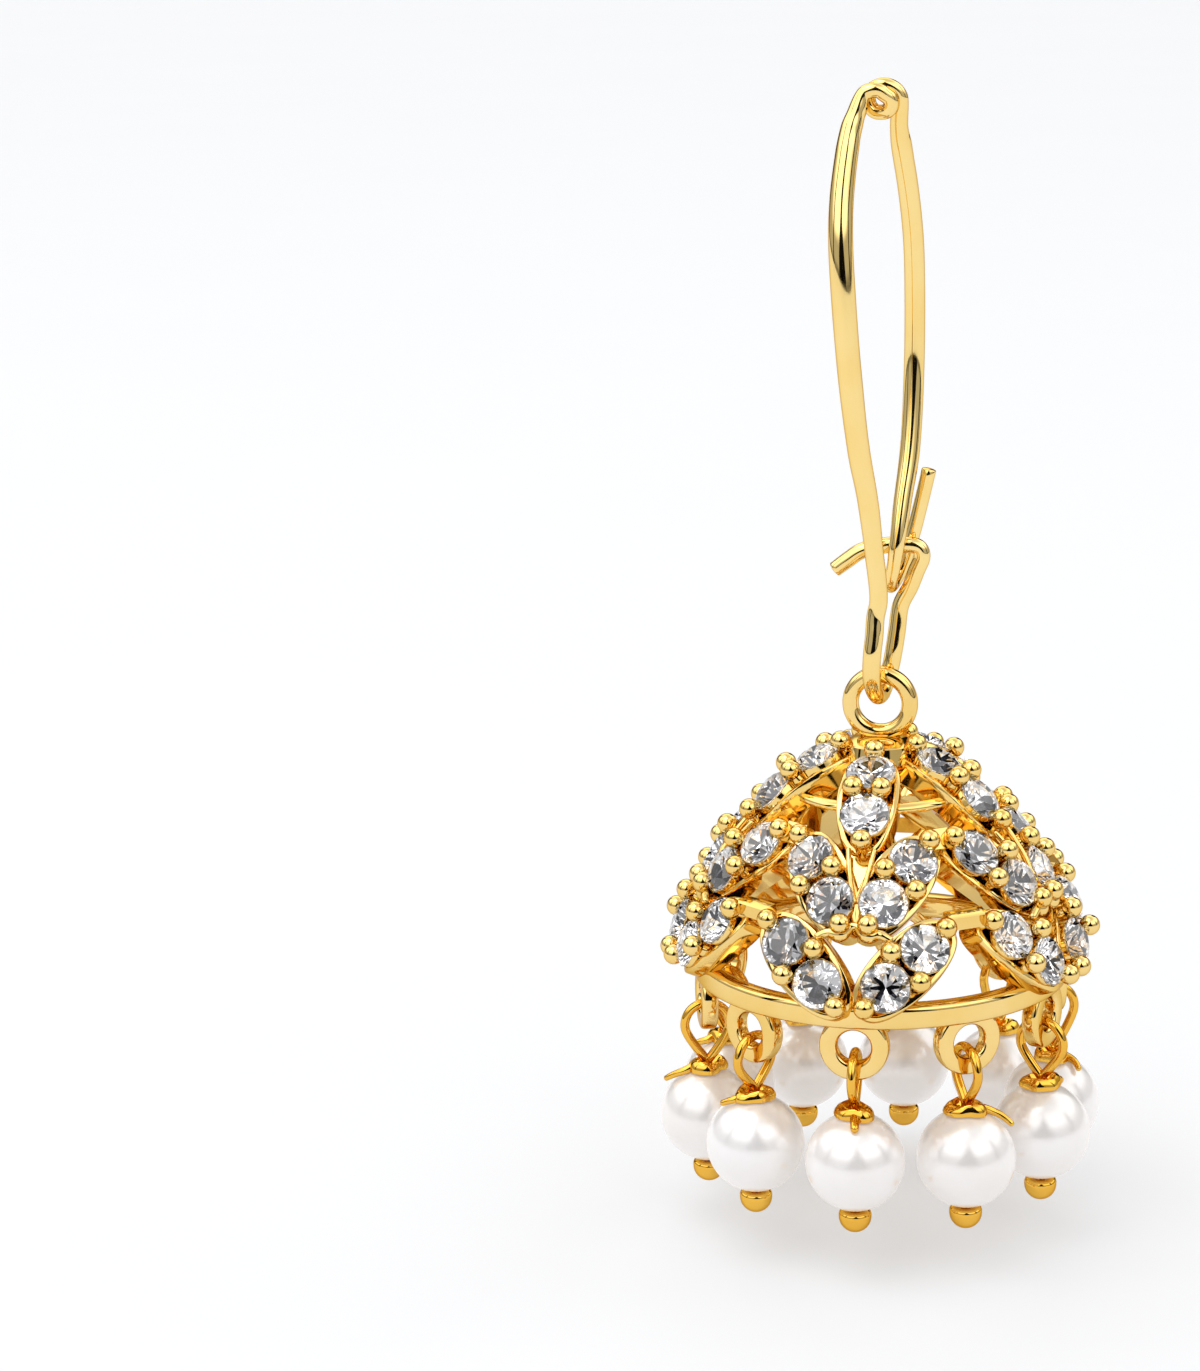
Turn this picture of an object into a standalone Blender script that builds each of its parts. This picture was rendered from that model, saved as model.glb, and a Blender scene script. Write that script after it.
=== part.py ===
# Jhumka earring: a coiled ear wire, a pierced bell set with navette clusters, and ten pearl drops.
# Lengths below are millimetres and are turned into metres when a mesh is made.
# The origin is where the earring hangs: right under the coil of the ear wire. +Z is up, -Y the front.
import math

import bpy
import bmesh
from mathutils import Matrix, Vector

MM = 0.001

# Heights below the hang point
PEARL_RING_Z = -40.52
BAIL_Z = -23.25

# Bell
SECTORS = 5
RIM_RADIUS = 7.83
RIM_WALL = 0.85
RIM_HEIGHT = 1.0
RIM_Z = PEARL_RING_Z + 5.9
RIM_SIDES = 50
BELL_HEIGHT = 9.8

# One sector of prong tips, as shares: radius of RIM_RADIUS, rise of BELL_HEIGHT above the rim's foot
PRONG_PLACES = {
    "crown": {
        "outer_tip": {"radius": 0.209, "rise": 1.004, "turn": 0.0},
        "upper_waist": {"radius": 0.506, "rise": 0.897, "turn": -8.3},
        "lower_waist": {"radius": 0.506, "rise": 0.897, "turn": 8.3},
        "inner_tip": {"radius": 0.692, "rise": 0.729, "turn": 0.0},
    },
    "middle": {
        "outer_tip": {"radius": 0.672, "rise": 0.716, "turn": 29.8},
        "upper_waist": {"radius": 0.801, "rise": 0.639, "turn": 9.8},
        "lower_waist": {"radius": 0.867, "rise": 0.549, "turn": 19.4},
        "inner_tip": {"radius": 0.955, "rise": 0.438, "turn": 4.3},
    },
    "lower": {
        "outer_tip": {"radius": 0.970, "rise": 0.416, "turn": 28.0},
        "upper_waist": {"radius": 1.027, "rise": 0.338, "turn": 11.0},
        "lower_waist": {"radius": 1.102, "rise": 0.227, "turn": 18.3},
        "inner_tip": {"radius": 1.112, "rise": 0.128, "turn": 3.8},
    },
}

# Navette settings
PRONG_RADIUS = 0.40
PRONG_RISE = 0.55
PRONG_SIDES = 6
PRONG_STEM = 0.34
PRONG_ROOT = 0.25
TRAY_DEPTH = 1.05
TRAY_HALF_WIDTH = 1.15
TRAY_TIP_REACH = 0.22
TRAY_FULLER = 1.03
STONE_RADIUS = 0.93
STONE_SPACING = 2.04
STONE_TABLE = 0.58
STONE_CROWN = 0.66
STONE_SINK = 0.15
STONE_SIDES = 8

# Bail ring on the crown of the bell
BAIL_HOLE = 0.88
BAIL_OUTER = 1.53
BAIL_THICKNESS = 0.66
CROWN_RADIUS = 1.35

# Lugs under the rim
LUGS = 10
LUG_RING = 7.28
LUG_Z = PEARL_RING_Z + 5.1
LUG_HOLE = 0.68
LUG_OUTER = 1.40
LUG_THICKNESS = 0.70

# Pearl pins
LOOP_RADIUS = 0.93
LOOP_WIRE = 0.19
LOOP_Z = PEARL_RING_Z + 3.85
CAP_RADIUS = 0.82
CAP_HEIGHT = 0.36
CAP_DROOP = 0.13
SHAFT_RADIUS = 0.21
HEAD_RADIUS = 0.66
HEAD_HEIGHT = 0.93
PEARL_GAP = 0.06
PEARL_RADIUS = 2.0
BORE_RADIUS = 0.31
PEARL_SIDES = 12
# How much lower or higher than the ring each hand-closed pin lets its pearl hang, by lug
PEARL_DROP = {
    "front": -0.2, "front_right": -0.1, "right": -0.05, "back_right": 0.35, "rear_right": 0.6,
    "back": 0.8, "rear_left": 0.6, "back_left": 0.35, "left": 0.05, "front_left": -0.2,
}

# Ear wire: each stage as x, y, z below the hang point and the wire's radius
COIL_Z = 0.97
COIL_WIRE = 0.255
COIL_PITCH = 0.64
COIL_SHIFT = 0.12
WIRE_SIDES = 6


def sector_point(radius, turn, z):
    angle = math.radians(turn)
    return Vector((radius * math.sin(angle), -radius * math.cos(angle), z))


def clear_scene():
    for thing in list(bpy.data.objects):
        bpy.data.objects.remove(thing, do_unlink=True)


def add_shell(bm, points, faces):
    verts = [bm.verts.new(p) for p in points]
    for face in faces:
        bm.faces.new([verts[i] for i in face])


def ring_faces(rings, sides, start=0):
    faces = []
    for r in range(rings - 1):
        for s in range(sides):
            a = start + r * sides + s
            b = start + r * sides + (s + 1) % sides
            faces.append((a, b, b + sides, a + sides))
    return faces


def add_prism_stack(bm, frame, outlines, cap_point=None):
    # outlines: lists of (u, v, w), all of one length, from the base to the top
    sides = len(outlines[0])
    points = [frame @ Vector(p) for outline in outlines for p in outline]
    faces = ring_faces(len(outlines), sides)
    faces.append(tuple(reversed(range(sides))))
    top = (len(outlines) - 1) * sides
    if cap_point is None:
        faces.append(tuple(range(top, top + sides)))
    else:
        points.append(frame @ Vector(cap_point))
        tip = len(points) - 1
        for s in range(sides):
            faces.append((top + s, top + (s + 1) % sides, tip))
    add_shell(bm, points, faces)


def circle(radius, w, sides, turn=0.0, cu=0.0, cv=0.0):
    out = []
    for i in range(sides):
        a = 2.0 * math.pi * i / sides + turn
        out.append((cu + radius * math.cos(a), cv + radius * math.sin(a), w))
    return out


def add_revolve(bm, frame, profile, sides):
    # profile: (radius, height) from the bottom to the top; a radius of zero closes an end
    points = []
    rows = []
    for radius, w in profile:
        if radius == 0.0:
            rows.append([len(points)])
            points.append(frame @ Vector((0.0, 0.0, w)))
        else:
            rows.append(list(range(len(points), len(points) + sides)))
            points.extend(frame @ Vector(p) for p in circle(radius, w, sides))
    faces = []
    for low, high in zip(rows, rows[1:]):
        for s in range(sides):
            t = (s + 1) % sides
            if len(low) == 1:
                faces.append((low[0], high[t], high[s]))
            elif len(high) == 1:
                faces.append((low[s], low[t], high[0]))
            else:
                faces.append((low[s], low[t], high[t], high[s]))
    add_shell(bm, points, faces)


def add_band(bm, frame, profile, sides):
    # A closed profile of (radius, height) points turned all the way round
    count = len(profile)
    points = []
    for s in range(sides):
        a = 2.0 * math.pi * s / sides
        for radius, w in profile:
            points.append(frame @ Vector((radius * math.cos(a), radius * math.sin(a), w)))
    faces = []
    for s in range(sides):
        for k in range(count):
            a = s * count + k
            b = s * count + (k + 1) % count
            c = ((s + 1) % sides) * count + (k + 1) % count
            d = ((s + 1) % sides) * count + k
            faces.append((a, d, c, b))
    add_shell(bm, points, faces)


def add_tube(bm, path, radii, sides, closed=False, squash=1.0):
    # A round bar along the path, carried without twist
    count = len(path)
    tangents = []
    for i in range(count):
        if closed:
            before = path[(i - 1) % count]
            after = path[(i + 1) % count]
        else:
            before = path[max(i - 1, 0)]
            after = path[min(i + 1, count - 1)]
        tangents.append((after - before).normalized())
    side = tangents[0].orthogonal().normalized()
    points = []
    for i in range(count):
        t = tangents[i]
        side = (side - t * side.dot(t)).normalized()
        other = t.cross(side)
        for s in range(sides):
            a = 2.0 * math.pi * s / sides
            points.append(path[i] + side * (radii[i] * math.cos(a))
                          + other * (radii[i] * squash * math.sin(a)))
    faces = ring_faces(count, sides)
    if closed:
        last = (count - 1) * sides
        # The last ring meets the first with the twist that the carried frame has gathered
        first_ring = [Vector(points[s]) for s in range(sides)]
        best = min(range(sides), key=lambda k: (Vector(points[last + k]) - first_ring[0]).length)
        for s in range(sides):
            a = last + (s + best) % sides
            b = last + (s + 1 + best) % sides
            faces.append((a, b, (s + 1) % sides, s))
    else:
        faces.append(tuple(reversed(range(sides))))
        faces.append(tuple(range((count - 1) * sides, count * sides)))
    add_shell(bm, points, faces)


def add_ring_plate(bm, centre, axis, outer, hole, thickness, outer_sides, start_turn=0.0):
    # A flat round eyelet; the hole and the outside have the same number of sides
    axis = axis.normalized()
    side = axis.orthogonal().normalized()
    if abs(axis.z) < 0.5:
        side = Vector((0.0, 0.0, 1.0)).cross(axis).normalized()
    other = axis.cross(side)
    frame = Matrix((
        (side.x, other.x, axis.x, centre.x),
        (side.y, other.y, axis.y, centre.y),
        (side.z, other.z, axis.z, centre.z),
        (0.0, 0.0, 0.0, 1.0),
    )) @ Matrix.Rotation(start_turn, 4, "Z")
    half = thickness * 0.5
    add_band(bm, frame, [(outer, -half), (outer, half), (hole, half), (hole, -half)], outer_sides)


def add_block(bm, start, end, across, wide_start, wide_end, normal, deep_out, deep_in):
    # A flat bar from start to end, with its thin side along across and its depth along normal
    across = across.normalized()
    normal = normal.normalized()
    rings = []
    for place, wide in ((start, wide_start), (end, wide_end)):
        half = across * (wide * 0.5)
        rings.extend([
            place + half + normal * deep_out,
            place - half + normal * deep_out,
            place - half - normal * deep_in,
            place + half - normal * deep_in,
        ])
    faces = [(0, 1, 2, 3), (7, 6, 5, 4)]
    for s in range(4):
        t = (s + 1) % 4
        faces.append((s, 4 + s, 4 + t, t))
    add_shell(bm, rings, faces)


def add_link(bm, turn, high, low, wide_high, wide_low, depth):
    # high and low: radius in mm and rise as a share of BELL_HEIGHT, on the outer face of the link
    out = sector_point(1.0, turn, 0.0)
    across = Vector((0.0, 0.0, 1.0)).cross(out)
    top = sector_point(high[0], turn, RIM_Z + BELL_HEIGHT * high[1])
    foot = sector_point(low[0], turn, RIM_Z + BELL_HEIGHT * low[1])
    normal = (top - foot).cross(across).normalized()
    if normal.dot(out) < 0.0:
        normal = -normal
    add_block(bm, top, foot, across, wide_high, wide_low, normal, 0.0, depth)


def finish_mesh(bm, name, scale=MM):
    bmesh.ops.recalc_face_normals(bm, faces=bm.faces)
    bmesh.ops.scale(bm, vec=(scale, scale, scale), verts=bm.verts)
    mesh = bpy.data.meshes.new(name)
    bm.to_mesh(mesh)
    bm.free()
    return mesh


def place(name, mesh, material, parent):
    thing = bpy.data.objects.new(name, mesh)
    bpy.context.scene.collection.objects.link(thing)
    thing.parent = parent
    mesh.materials.clear()
    mesh.materials.append(material)
    return thing


def metal(name, colour, roughness, metallic):
    mat = bpy.data.materials.new(name)
    mat.use_nodes = True
    shader = mat.node_tree.nodes["Principled BSDF"]
    shader.inputs["Base Color"].default_value = (*colour, 1.0)
    shader.inputs["Roughness"].default_value = roughness
    shader.inputs["Metallic"].default_value = metallic
    return mat


def prong_point(kind, place_name, sector, mirror):
    row = PRONG_PLACES[kind][place_name]
    turn = row["turn"] * mirror + sector * 360.0 / SECTORS
    return sector_point(row["radius"] * RIM_RADIUS, turn, RIM_Z + row["rise"] * BELL_HEIGHT)


def setting_frame(kind, sector, mirror):
    tip_a = prong_point(kind, "outer_tip", sector, mirror)
    tip_b = prong_point(kind, "inner_tip", sector, mirror)
    waist_a = prong_point(kind, "upper_waist", sector, mirror)
    waist_b = prong_point(kind, "lower_waist", sector, mirror)
    middle = (tip_a + tip_b) * 0.5
    u = (tip_a - tip_b).normalized()
    v = waist_a - waist_b
    v = (v - u * v.dot(u)).normalized()
    w = u.cross(v)
    if w.dot(Vector((middle.x, middle.y, 2.0))) < 0.0:
        v = -v
        w = -w
    waist = (waist_a + waist_b) * 0.5
    bulge = (waist - middle).dot(w)
    half_length = (tip_a - tip_b).length * 0.5
    half_waist = abs((waist_a - waist_b).dot(v)) * 0.5
    frame = Matrix((
        (u.x, v.x, w.x, middle.x),
        (u.y, v.y, w.y, middle.y),
        (u.z, v.z, w.z, middle.z),
        (0.0, 0.0, 0.0, 1.0),
    ))
    return frame, half_length, half_waist, bulge


def lift(u, half_length, bulge):
    # Each half of a tray is flat; the two meet in a low ridge at the waist
    return bulge * (1.0 - abs(u) / half_length) - PRONG_RISE


def tray_outline(half_length):
    # One half, from the ridge at -v round the tip to the ridge at +v
    reach = half_length + TRAY_TIP_REACH
    shares = [(0.0, -1.0), (0.66, -0.84), (0.985, -0.22), (0.985, 0.22), (0.66, 0.84), (0.0, 1.0)]
    return [(reach * a, TRAY_HALF_WIDTH * b) for a, b in shares]


def add_tray(bm, frame, half_length, bulge, mirror):
    # The left tray of a pair is cast a trace fuller, so that the two never share an edge
    fuller = TRAY_FULLER if mirror < 0.0 else 1.0
    half = [(u, v * fuller) for u, v in tray_outline(half_length)]
    outline = half + [(-u, -v) for u, v in half[1:-1]]
    count = len(outline)
    points = []
    for sink, share in ((TRAY_DEPTH * fuller, 0.93), (0.0, 1.0)):
        for u, v in outline:
            points.append(frame @ Vector((u * share, v * share, lift(u, half_length, bulge) - sink)))
    faces = ring_faces(2, count)
    ridge = len(half) - 1
    for start, end in ((0, ridge), (ridge, count)):
        loop = [i % count for i in range(start, end + 1)]
        faces.append(tuple(count + i for i in loop))
        faces.append(tuple(reversed(loop)))
    add_shell(bm, points, faces)


def add_setting(bm, kind, sector, mirror):
    frame, half_length, half_waist, bulge = setting_frame(kind, sector, mirror)
    add_tray(bm, frame, half_length, bulge, mirror)
    for side in (-1.0, 1.0):
        u = side * STONE_SPACING * 0.5
        slope = -side * bulge / half_length
        tilt = Matrix.Translation((u, 0.0, lift(u, half_length, bulge)))
        tilt = tilt @ Matrix.Rotation(-math.atan(slope), 4, "Y")
        turn = math.pi / STONE_SIDES
        spread = STONE_RADIUS + (STONE_RADIUS - STONE_RADIUS * STONE_TABLE) * STONE_SINK / STONE_CROWN
        rows = [
            circle(spread, -STONE_SINK, STONE_SIDES, turn),
            circle(STONE_RADIUS * STONE_TABLE, STONE_CROWN, STONE_SIDES, turn),
        ]
        add_prism_stack(bm, frame @ tilt, rows)
    spots = [
        (half_length, 0.0), (-half_length, 0.0), (0.0, half_waist), (0.0, -half_waist),
    ]
    for u, v in spots:
        base = lift(u, half_length, bulge) + PRONG_RISE
        rows = [
            circle(PRONG_STEM, base - PRONG_RISE - PRONG_ROOT, PRONG_SIDES, 0.3, u, v),
            circle(PRONG_RADIUS, base + 0.14, PRONG_SIDES, 0.3, u, v),
        ]
        add_prism_stack(bm, frame, rows, (u, v, base + PRONG_RADIUS))


def settings():
    for sector in range(SECTORS):
        yield "crown", sector, 1.0
        for kind in ("middle", "lower"):
            yield kind, sector, 1.0
            yield kind, sector, -1.0


def build_bell_shells(bm):
    for kind, sector, mirror in settings():
        add_setting(bm, kind, sector, mirror)
    for sector in range(SECTORS):
        here = sector * 360.0 / SECTORS
        edge = (sector + 0.5) * 360.0 / SECTORS
        # Link between the upper ends of two neighbouring lower navettes
        add_link(bm, edge, (7.45, 0.455), (7.30, 0.375), 1.9, 1.9, 0.85)
        # Link between the upper ends of two neighbouring middle navettes
        add_link(bm, edge, (4.75, 0.745), (5.35, 0.672), 1.0, 1.3, 0.80)
        # Web between the two middle navettes, under the tip of the crown navette
        add_link(bm, here, (5.20, 0.700), (6.75, 0.54), 1.1, 0.5, 0.85)
        # Saddle that carries the foot of the middle pair on the lower pair
        add_link(bm, here, (7.30, 0.425), (7.45, 0.345), 2.2, 3.0, 0.75)
    # Gallery ring that ties the crown navettes together
    ring = Matrix.Translation((0.0, 0.0, RIM_Z + BELL_HEIGHT * 0.80))
    add_band(bm, ring, [(3.75, -0.30), (3.75, 0.25), (3.15, 0.50), (3.15, -0.05)], 20)
    # Crown collar under the bail
    cap = Matrix.Translation((0.0, 0.0, BAIL_Z))
    top = -BAIL_OUTER + 0.22
    profile = [
        (CROWN_RADIUS * 0.8, -2.75), (CROWN_RADIUS * 1.15, -2.3), (CROWN_RADIUS, top - 0.2),
        (CROWN_RADIUS * 0.55, top),
    ]
    rows = [circle(radius, w, 12) for radius, w in profile]
    add_prism_stack(bm, cap, rows)
    add_ring_plate(bm, Vector((0.0, 0.0, BAIL_Z)), Vector((0.0, 1.0, 0.0)), BAIL_OUTER, BAIL_HOLE, BAIL_THICKNESS,
                   16, math.pi / 16)
    for k in range(LUGS):
        turn = k * 360.0 / LUGS
        centre = sector_point(LUG_RING, turn, LUG_Z)
        add_ring_plate(bm, centre, sector_point(1.0, turn, 0.0), LUG_OUTER, LUG_HOLE, LUG_THICKNESS, 10,
                       math.pi / 10)


def build_bell(gold, parent):
    rim = bmesh.new()
    base = Matrix.Translation((0.0, 0.0, RIM_Z))
    inner = RIM_RADIUS - RIM_WALL
    add_band(rim, base, [
        (RIM_RADIUS, 0.0), (RIM_RADIUS, RIM_HEIGHT), (inner, RIM_HEIGHT), (inner, 0.0),
    ], RIM_SIDES)
    bell = place("bell", finish_mesh(rim, "bell"), gold, parent)
    shells = bmesh.new()
    build_bell_shells(shells)
    tool = place("bell_shells", finish_mesh(shells, "bell_shells"), gold, parent)
    tool.hide_render = True
    tool.display_type = "WIRE"
    join = bell.modifiers.new("join", "BOOLEAN")
    join.operation = "UNION"
    join.solver = "EXACT"
    join.use_self = True
    join.object = tool
    return bell


def wire_path():
    front = [
        (-0.22, -1.12, -21.95, 0.37), (-0.18, -1.20, -20.75, 0.37), (-0.02, -1.25, -19.49, 0.37),
        (0.12, -1.30, -18.75, 0.37), (-0.03, -1.55, -16.57, 0.385), (-0.23, -1.85, -14.48, 0.42),
        (-0.52, -2.30, -12.42, 0.45), (-0.83, -2.70, -9.18, 0.48), (-1.06, -2.75, -6.02, 0.49),
        (-1.18, -2.50, -4.10, 0.49), (-1.22, -1.95, -2.60, 0.48), (-1.12, -1.25, -0.90, 0.46),
        (-1.00, -0.85, 0.03, 0.43), (-0.80, -0.62, 0.70, 0.37),
    ]
    back = [
        (0.65, 0.80, 0.05, 0.36), (0.72, 1.10, -0.85, 0.42), (0.90, 1.75, -2.60, 0.42),
        (1.01, 2.45, -4.66, 0.42), (1.03, 2.75, -6.90, 0.42), (1.01, 2.70, -9.93, 0.42),
        (0.96, 1.85, -13.08, 0.41), (0.78, 1.00, -15.03, 0.37), (0.65, 0.40, -16.57, 0.32),
        (0.50, 0.34, -17.65, 0.29), (0.34, 0.55, -18.30, 0.28), (0.30, 1.12, -18.60, 0.28),
        (0.50, 1.75, -18.25, 0.30), (0.76, 1.96, -17.60, 0.30), (1.04, 2.02, -16.70, 0.30),
        (1.39, 2.08, -15.30, 0.30), (1.70, 2.12, -13.96, 0.30),
    ]
    foot = [
        (-1.95, 0.72, -17.88, 0.32), (-1.42, 0.78, -17.48, 0.33), (-0.90, 0.86, -17.13, 0.33),
        (0.08, 1.04, -16.90, 0.33), (0.84, 1.14, -16.88, 0.33), (1.40, 1.20, -16.98, 0.33),
        (1.55, 1.22, -17.34, 0.34), (1.30, 1.22, -18.00, 0.35), (1.07, 1.22, -18.62, 0.34),
        (0.66, 1.20, -19.42, 0.35), (0.55, 1.20, -20.50, 0.36), (0.47, 1.18, -21.30, 0.36),
        (0.34, 1.14, -21.95, 0.36), (0.18, 0.95, -22.42, 0.355), (0.06, 0.55, -22.80, 0.35),
        (0.02, 0.0, -22.90, 0.35), (-0.04, -0.55, -22.80, 0.35), (-0.12, -0.95, -22.38, 0.36),
    ]
    coil = []
    steps = 27
    for i in range(steps + 1):
        share = i / steps
        angle = math.radians(150.0 - 500.0 * share)
        if share < 0.16:
            radius = 0.78 + (0.42 - 0.78) * share / 0.16
        elif share < 0.5:
            radius = 0.42
        elif share < 0.72:
            radius = 0.42 + 0.27 * (share - 0.5) / 0.22
        else:
            radius = 0.69
        y = -COIL_PITCH * 0.72 + COIL_PITCH * 1.44 * share
        coil.append((COIL_SHIFT + radius * math.cos(angle), y, COIL_Z + radius * math.sin(angle), COIL_WIRE))
    stages = foot + front + coil + back
    path = [Vector((x, y, z)) for x, y, z, r in stages]
    return path, [r for x, y, z, r in stages]


def build_ear_wire(gold, parent):
    path, radii = wire_path()
    bm = bmesh.new()
    add_tube(bm, path, radii, WIRE_SIDES)
    return place("ear_wire", finish_mesh(bm, "ear_wire"), gold, parent)


def build_drop(name, turn, drop, gold, nacre, parent):
    out = sector_point(1.0, turn, 0.0)
    across = Vector((0.0, 0.0, 1.0)).cross(out)
    centre = sector_point(LUG_RING, turn, PEARL_RING_Z - drop)
    stand = Matrix.Translation(centre)
    # Pin: drop-shaped eye that runs down into a wrapped cap, then the shaft and a round head
    loop = bmesh.new()
    hub = sector_point(LUG_RING, turn, LOOP_Z)
    low = PEARL_RADIUS + PEARL_GAP
    top = low + CAP_HEIGHT
    foot = centre + Vector((0.0, 0.0, top - 0.08))
    path = []
    for i in range(8):
        a = math.radians(-15.0 + 30.0 * i)
        path.append(hub + out * (LOOP_RADIUS * math.cos(a)) + Vector((0.0, 0.0, LOOP_RADIUS * math.sin(a))))
    rise = Vector((0.0, 0.0, 0.18))
    path.extend([foot - out * 0.22 + rise, foot, foot + out * 0.22 + rise])
    add_tube(loop, path, [LOOP_WIRE] * len(path), 5, closed=True)
    body = bmesh.new()
    under = -PEARL_RADIUS - PEARL_GAP
    add_revolve(body, stand, [
        (0.0, under - HEAD_HEIGHT), (HEAD_RADIUS * 0.62, under - HEAD_HEIGHT * 0.84),
        (HEAD_RADIUS, under - HEAD_HEIGHT * 0.36), (HEAD_RADIUS * 0.86, under - 0.02), (SHAFT_RADIUS, under),
        (SHAFT_RADIUS, low), (CAP_RADIUS * 0.94, low - CAP_DROOP),
        (CAP_RADIUS, low), (CAP_RADIUS * 0.72, top - 0.06), (0.0, top),
    ], 8)
    pin = place("pin_" + name, finish_mesh(body, "pin_" + name), gold, parent)
    ring = place("loop_" + name, finish_mesh(loop, "loop_" + name), gold, parent)
    ring.hide_render = True
    ring.display_type = "WIRE"
    join = pin.modifiers.new("join", "BOOLEAN")
    join.operation = "UNION"
    join.solver = "EXACT"
    join.object = ring
    # Pearl, bored through for the shaft
    bead = bmesh.new()
    start = math.acos(math.sqrt(1.0 - (BORE_RADIUS / PEARL_RADIUS) ** 2))
    bands = 8
    profile = []
    for i in range(bands + 1):
        a = start + (math.pi - 2.0 * start) * i / bands
        profile.append((PEARL_RADIUS * math.sin(a), -PEARL_RADIUS * math.cos(a)))
    add_band(bead, stand, profile, PEARL_SIDES)
    place("pearl_" + name, finish_mesh(bead, "pearl_" + name), nacre, parent)


def main():
    clear_scene()
    gold = metal("polished_gold", (0.93, 0.70, 0.34), 0.12, 1.0)
    deep_gold = metal("deep_gold", (0.90, 0.58, 0.20), 0.15, 1.0)
    bell_gold = metal("stone_set_gold", (0.93, 0.70, 0.34), 0.12, 1.0)
    nacre = metal("pearl", (0.93, 0.90, 0.86), 0.25, 0.0)
    root = bpy.data.objects.new("jhumka_earring", None)
    bpy.context.scene.collection.objects.link(root)
    build_ear_wire(gold, root)
    build_bell(bell_gold, root)
    for k, name in enumerate(PEARL_DROP):
        build_drop(name, k * 360.0 / LUGS, PEARL_DROP[name], deep_gold, nacre, root)


main()
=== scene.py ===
# Looks of the jhumka earring: drawn ear wire, cast bell with claw-set stones, wrapped pins and pearls.
# Lengths are millimetres in the tables below and metres in the meshes.
# The origin is under the wire's coil, +Z up, -Y the front.
import math
import random

import bpy
from mathutils import Matrix, Vector, noise

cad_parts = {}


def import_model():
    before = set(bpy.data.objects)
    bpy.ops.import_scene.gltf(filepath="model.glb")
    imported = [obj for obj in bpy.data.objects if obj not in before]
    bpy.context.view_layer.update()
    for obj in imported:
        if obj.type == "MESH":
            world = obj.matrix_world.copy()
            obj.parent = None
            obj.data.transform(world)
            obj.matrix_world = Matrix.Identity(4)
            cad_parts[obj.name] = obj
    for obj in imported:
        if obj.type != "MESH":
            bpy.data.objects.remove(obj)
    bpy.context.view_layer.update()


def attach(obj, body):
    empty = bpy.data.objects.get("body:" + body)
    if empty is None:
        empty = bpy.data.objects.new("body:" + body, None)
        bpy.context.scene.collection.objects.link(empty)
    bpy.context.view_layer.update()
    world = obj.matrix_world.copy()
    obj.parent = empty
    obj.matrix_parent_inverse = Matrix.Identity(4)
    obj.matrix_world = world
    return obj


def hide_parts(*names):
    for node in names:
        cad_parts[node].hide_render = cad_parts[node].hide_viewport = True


MM = 0.001
STONE_SEED = 7
DROP_SEED = 11
# A turned piece closes on its axis with a ring of this radius
AXIS_RADIUS = 0.002

# Heights below the hang point
PEARL_RING_Z = -40.52
BAIL_Z = -23.25

# Bell
SECTORS = 5
RIM_RADIUS = 7.83
RIM_WALL = 0.85
RIM_HEIGHT = 1.0
RIM_Z = PEARL_RING_Z + 5.9
BELL_HEIGHT = 9.8

# One sector of claw tips, as shares: radius of RIM_RADIUS, rise of BELL_HEIGHT. Turn in degrees.
PRONG_PLACES = {
    "crown": {
        "outer_tip": {"radius": 0.209, "rise": 1.004, "turn": 0.0},
        "upper_waist": {"radius": 0.506, "rise": 0.897, "turn": -8.3},
        "lower_waist": {"radius": 0.506, "rise": 0.897, "turn": 8.3},
        "inner_tip": {"radius": 0.692, "rise": 0.729, "turn": 0.0},
    },
    "middle": {
        "outer_tip": {"radius": 0.672, "rise": 0.716, "turn": 29.8},
        "upper_waist": {"radius": 0.801, "rise": 0.639, "turn": 9.8},
        "lower_waist": {"radius": 0.867, "rise": 0.549, "turn": 19.4},
        "inner_tip": {"radius": 0.955, "rise": 0.438, "turn": 4.3},
    },
    "lower": {
        "outer_tip": {"radius": 0.970, "rise": 0.416, "turn": 28.0},
        "upper_waist": {"radius": 1.027, "rise": 0.338, "turn": 11.0},
        "lower_waist": {"radius": 1.102, "rise": 0.227, "turn": 18.3},
        "inner_tip": {"radius": 1.112, "rise": 0.128, "turn": 3.8},
    },
}

# Navette settings
PRONG_RADIUS = 0.43
PRONG_STEM = 0.27
PRONG_RISE = 0.55
PRONG_ROOT = 0.60
TRAY_DEPTH = 1.05
TRAY_HALF_WIDTH = 1.25
TRAY_TIP_REACH = 0.26
TRAY_FLANGE = 0.20
# Below 2 a superellipse is pointed, above 2 it is full
NAVETTE_TIP_POWER = 1.9
NAVETTE_SIDE_POWER = 2.6
NAVETTE_SIDES = 56

# Stones: radius, spacing and lift over the tray, then shares of the radius
STONE_RADIUS = 1.03
STONE_SPACING = 2.12
STONE_LIFT = 0.26
STONE_TABLE = 0.57
STONE_STAR = 0.80
STONE_CROWN = 0.30
STONE_PAVILION = 0.80
STONE_GIRDLE = 0.05
STONE_LOWER = 0.24
# Where a lower facet changes from its look under the table to its look under the crown
STONE_SPLIT = 0.46
STONE_FACETS = 8

# Back facets painted with reflected light, bright, dark or warm, as shares: a painted dark star, brighter
# wedges, a bright ring
PAINTED_FLASH_MARKS = (1, 2, 3)
PAINTED_FLASHES = {
    "star": (0.30, 0.60, 0.10),
    "wedge": (0.52, 0.40, 0.08),
    "ring": (0.60, 0.24, 0.16),
}

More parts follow.
